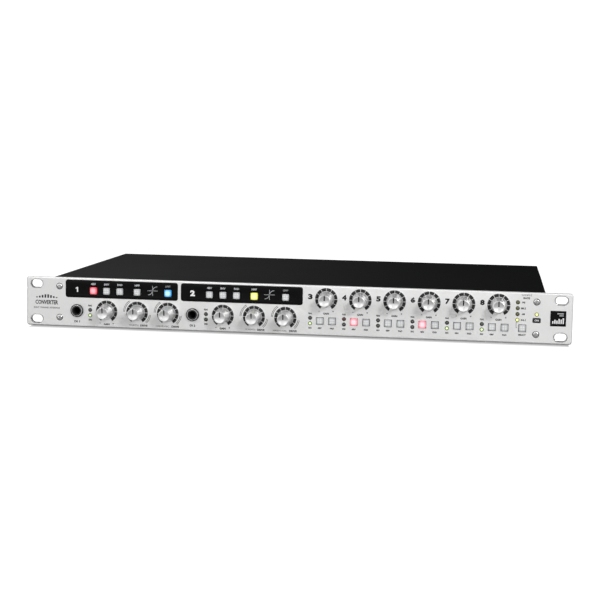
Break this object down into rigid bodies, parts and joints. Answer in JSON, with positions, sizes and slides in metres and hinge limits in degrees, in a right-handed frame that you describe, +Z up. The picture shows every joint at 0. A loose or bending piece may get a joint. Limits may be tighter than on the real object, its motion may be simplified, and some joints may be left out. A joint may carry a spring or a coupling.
{
  "type": "audio interface",
  "caption": "Low rack-mount audio interface with a silver front panel of turning knobs, lit push-buttons and instrument jacks, a black steel case, and audio, clock and mains sockets behind.",
  "frame": {"origin": "middle of the case's underside, which is level with the front panel's bottom edge", "axes": "+Z up, -Y out of the front panel, +X to the right as seen from the front"},
  "size_m": [0.4826, 0.2807, 0.044],
  "materials": {
    "faceplate": "fine satin silver",
    "case_paint": "satin black powder coat",
    "knob_metal": "polished, spun face",
    "key_cap": "translucent white, unlit",
    "key_red": "translucent, lit red",
    "key_blue": "translucent, lit blue",
    "key_yellow": "translucent, lit yellow",
    "nickel": "nickel plate",
    "connector_plastic": "moulded black",
    "circuit_board": "green solder mask",
    "supply_steel": "bare metal and board"
  },
  "bodies": {
    "case": {"front_panel": "faceplate", "chassis_base": "case_paint", "top_cover": "case_paint", "control_board": "circuit_board", "main_board": "circuit_board", "power_supply": "supply_steel", "instrument_jack_1": "nickel", "instrument_jack_2": "nickel", "mic_socket_1": "connector_plastic", "mic_socket_2": "connector_plastic", "mic_socket_3": "connector_plastic", "mic_socket_4": "connector_plastic", "mic_socket_5": "connector_plastic", "mic_socket_6": "connector_plastic", "mic_socket_7": "connector_plastic", "mic_socket_8": "connector_plastic", "multi_pin_output": "nickel", "word_clock_socket": "nickel", "optical_output_1": "connector_plastic", "optical_output_2": "connector_plastic", "power_inlet": "connector_plastic"},
    "knob_1_a": {"knob_1_a": "knob_metal"},
    "knob_1_b": {"knob_1_b": "knob_metal"},
    "knob_1_c": {"knob_1_c": "knob_metal"},
    "knob_2_a": {"knob_2_a": "knob_metal"},
    "knob_2_b": {"knob_2_b": "knob_metal"},
    "knob_2_c": {"knob_2_c": "knob_metal"},
    "knob_3": {"knob_3": "knob_metal"},
    "knob_4": {"knob_4": "knob_metal"},
    "knob_5": {"knob_5": "knob_metal"},
    "knob_6": {"knob_6": "knob_metal"},
    "knob_7": {"knob_7": "knob_metal"},
    "knob_8": {"knob_8": "knob_metal"},
    "key_1_a": {"key_1_a": "key_red"},
    "key_1_b": {"key_1_b": "key_cap"},
    "key_1_c": {"key_1_c": "key_cap"},
    "key_1_d": {"key_1_d": "key_cap"},
    "key_1_e": {"key_1_e": "key_blue"},
    "key_2_a": {"key_2_a": "key_cap"},
    "key_2_b": {"key_2_b": "key_cap"},
    "key_2_c": {"key_2_c": "key_cap"},
    "key_2_d": {"key_2_d": "key_yellow"},
    "key_2_e": {"key_2_e": "key_cap"},
    "key_3_a": {"key_3_a": "key_cap"},
    "key_3_b": {"key_3_b": "key_cap"},
    "key_4_a": {"key_4_a": "key_red"},
    "key_4_b": {"key_4_b": "key_cap"},
    "key_5_a": {"key_5_a": "key_cap"},
    "key_5_b": {"key_5_b": "key_cap"},
    "key_6_a": {"key_6_a": "key_red"},
    "key_6_b": {"key_6_b": "key_cap"},
    "key_7_a": {"key_7_a": "key_cap"},
    "key_7_b": {"key_7_b": "key_cap"},
    "key_8_a": {"key_8_a": "key_cap"},
    "key_8_b": {"key_8_b": "key_cap"},
    "key_rate": {"key_rate": "key_cap"},
    "power_rocker": {"power_rocker": "connector_plastic"},
    "fuse_drawer": {"fuse_drawer": "connector_plastic"},
    "optical_shutter_1": {"optical_shutter_1": "connector_plastic"},
    "optical_shutter_2": {"optical_shutter_2": "connector_plastic"}
  },
  "joints": [
    {"name": "knob_1_a_turn", "type": "hinge", "parent": "case", "child": "knob_1_a", "pos_m": [-0.1674, -0.128, 0.0146], "axis": [0, 1, 0], "range_deg": [-150, 150]},
    {"name": "knob_1_b_turn", "type": "hinge", "parent": "case", "child": "knob_1_b", "pos_m": [-0.1395, -0.128, 0.0146], "axis": [0, 1, 0], "range_deg": [-150, 150]},
    {"name": "knob_1_c_turn", "type": "hinge", "parent": "case", "child": "knob_1_c", "pos_m": [-0.1116, -0.128, 0.0146], "axis": [0, 1, 0], "range_deg": [-150, 150]},
    {"name": "knob_2_a_turn", "type": "hinge", "parent": "case", "child": "knob_2_a", "pos_m": [-0.062, -0.128, 0.0146], "axis": [0, 1, 0], "range_deg": [-150, 150]},
    {"name": "knob_2_b_turn", "type": "hinge", "parent": "case", "child": "knob_2_b", "pos_m": [-0.0341, -0.128, 0.0146], "axis": [0, 1, 0], "range_deg": [-150, 150]},
    {"name": "knob_2_c_turn", "type": "hinge", "parent": "case", "child": "knob_2_c", "pos_m": [-0.0062, -0.128, 0.0146], "axis": [0, 1, 0], "range_deg": [-150, 150]},
    {"name": "knob_3_turn", "type": "hinge", "parent": "case", "child": "knob_3", "pos_m": [0.0296, -0.128, 0.0323], "axis": [0, 1, 0], "range_deg": [-150, 150]},
    {"name": "knob_4_turn", "type": "hinge", "parent": "case", "child": "knob_4", "pos_m": [0.0594, -0.128, 0.0323], "axis": [0, 1, 0], "range_deg": [-150, 150]},
    {"name": "knob_5_turn", "type": "hinge", "parent": "case", "child": "knob_5", "pos_m": [0.0892, -0.128, 0.0323], "axis": [0, 1, 0], "range_deg": [-150, 150]},
    {"name": "knob_6_turn", "type": "hinge", "parent": "case", "child": "knob_6", "pos_m": [0.119, -0.128, 0.0323], "axis": [0, 1, 0], "range_deg": [-150, 150]},
    {"name": "knob_7_turn", "type": "hinge", "parent": "case", "child": "knob_7", "pos_m": [0.1488, -0.128, 0.0323], "axis": [0, 1, 0], "range_deg": [-150, 150]},
    {"name": "knob_8_turn", "type": "hinge", "parent": "case", "child": "knob_8", "pos_m": [0.1786, -0.128, 0.0323], "axis": [0, 1, 0], "range_deg": [-150, 150]},
    {"name": "key_1_a_press", "type": "slide", "parent": "case", "child": "key_1_a", "axis": [0, 1, 0], "range_m": [0, 0.0015], "stiffness_N_per_m": 400, "springref_m": -0.001},
    {"name": "key_1_b_press", "type": "slide", "parent": "case", "child": "key_1_b", "axis": [0, 1, 0], "range_m": [0, 0.0015], "stiffness_N_per_m": 400, "springref_m": -0.001},
    {"name": "key_1_c_press", "type": "slide", "parent": "case", "child": "key_1_c", "axis": [0, 1, 0], "range_m": [0, 0.0015], "stiffness_N_per_m": 400, "springref_m": -0.001},
    {"name": "key_1_d_press", "type": "slide", "parent": "case", "child": "key_1_d", "axis": [0, 1, 0], "range_m": [0, 0.0015], "stiffness_N_per_m": 400, "springref_m": -0.001},
    {"name": "key_1_e_press", "type": "slide", "parent": "case", "child": "key_1_e", "axis": [0, 1, 0], "range_m": [0, 0.0015], "stiffness_N_per_m": 400, "springref_m": -0.001},
    {"name": "key_2_a_press", "type": "slide", "parent": "case", "child": "key_2_a", "axis": [0, 1, 0], "range_m": [0, 0.0015], "stiffness_N_per_m": 400, "springref_m": -0.001},
    {"name": "key_2_b_press", "type": "slide", "parent": "case", "child": "key_2_b", "axis": [0, 1, 0], "range_m": [0, 0.0015], "stiffness_N_per_m": 400, "springref_m": -0.001},
    {"name": "key_2_c_press", "type": "slide", "parent": "case", "child": "key_2_c", "axis": [0, 1, 0], "range_m": [0, 0.0015], "stiffness_N_per_m": 400, "springref_m": -0.001},
    {"name": "key_2_d_press", "type": "slide", "parent": "case", "child": "key_2_d", "axis": [0, 1, 0], "range_m": [0, 0.0015], "stiffness_N_per_m": 400, "springref_m": -0.001},
    {"name": "key_2_e_press", "type": "slide", "parent": "case", "child": "key_2_e", "axis": [0, 1, 0], "range_m": [0, 0.0015], "stiffness_N_per_m": 400, "springref_m": -0.001},
    {"name": "key_3_a_press", "type": "slide", "parent": "case", "child": "key_3_a", "axis": [0, 1, 0], "range_m": [0, 0.0015], "stiffness_N_per_m": 400, "springref_m": -0.001},
    {"name": "key_3_b_press", "type": "slide", "parent": "case", "child": "key_3_b", "axis": [0, 1, 0], "range_m": [0, 0.0015], "stiffness_N_per_m": 400, "springref_m": -0.001},
    {"name": "key_4_a_press", "type": "slide", "parent": "case", "child": "key_4_a", "axis": [0, 1, 0], "range_m": [0, 0.0015], "stiffness_N_per_m": 400, "springref_m": -0.001},
    {"name": "key_4_b_press", "type": "slide", "parent": "case", "child": "key_4_b", "axis": [0, 1, 0], "range_m": [0, 0.0015], "stiffness_N_per_m": 400, "springref_m": -0.001},
    {"name": "key_5_a_press", "type": "slide", "parent": "case", "child": "key_5_a", "axis": [0, 1, 0], "range_m": [0, 0.0015], "stiffness_N_per_m": 400, "springref_m": -0.001},
    {"name": "key_5_b_press", "type": "slide", "parent": "case", "child": "key_5_b", "axis": [0, 1, 0], "range_m": [0, 0.0015], "stiffness_N_per_m": 400, "springref_m": -0.001},
    {"name": "key_6_a_press", "type": "slide", "parent": "case", "child": "key_6_a", "axis": [0, 1, 0], "range_m": [0, 0.0015], "stiffness_N_per_m": 400, "springref_m": -0.001},
    {"name": "key_6_b_press", "type": "slide", "parent": "case", "child": "key_6_b", "axis": [0, 1, 0], "range_m": [0, 0.0015], "stiffness_N_per_m": 400, "springref_m": -0.001},
    {"name": "key_7_a_press", "type": "slide", "parent": "case", "child": "key_7_a", "axis": [0, 1, 0], "range_m": [0, 0.0015], "stiffness_N_per_m": 400, "springref_m": -0.001},
    {"name": "key_7_b_press", "type": "slide", "parent": "case", "child": "key_7_b", "axis": [0, 1, 0], "range_m": [0, 0.0015], "stiffness_N_per_m": 400, "springref_m": -0.001},
    {"name": "key_8_a_press", "type": "slide", "parent": "case", "child": "key_8_a", "axis": [0, 1, 0], "range_m": [0, 0.0015], "stiffness_N_per_m": 400, "springref_m": -0.001},
    {"name": "key_8_b_press", "type": "slide", "parent": "case", "child": "key_8_b", "axis": [0, 1, 0], "range_m": [0, 0.0015], "stiffness_N_per_m": 400, "springref_m": -0.001},
    {"name": "key_rate_press", "type": "slide", "parent": "case", "child": "key_rate", "axis": [0, 1, 0], "range_m": [0, 0.0015], "stiffness_N_per_m": 400, "springref_m": -0.001},
    {"name": "power_rocker_tilt", "type": "hinge", "parent": "case", "child": "power_rocker", "pos_m": [-0.1624, 0.1279, 0.022], "axis": [1, 0, 0], "range_deg": [0, 14]},
    {"name": "fuse_drawer_pull", "type": "slide", "parent": "case", "child": "fuse_drawer", "axis": [0, 1, 0], "range_m": [0, 0.012]},
    {"name": "optical_shutter_1_swing", "type": "hinge", "parent": "case", "child": "optical_shutter_1", "pos_m": [-0.097, 0.1231, 0.02595], "axis": [-1, 0, 0], "range_deg": [0, 80], "stiffness_Nm_per_rad": 0.0005},
    {"name": "optical_shutter_2_swing", "type": "hinge", "parent": "case", "child": "optical_shutter_2", "pos_m": [-0.117, 0.1231, 0.02595], "axis": [-1, 0, 0], "range_deg": [0, 80], "stiffness_Nm_per_rad": 0.0005}
  ]
}
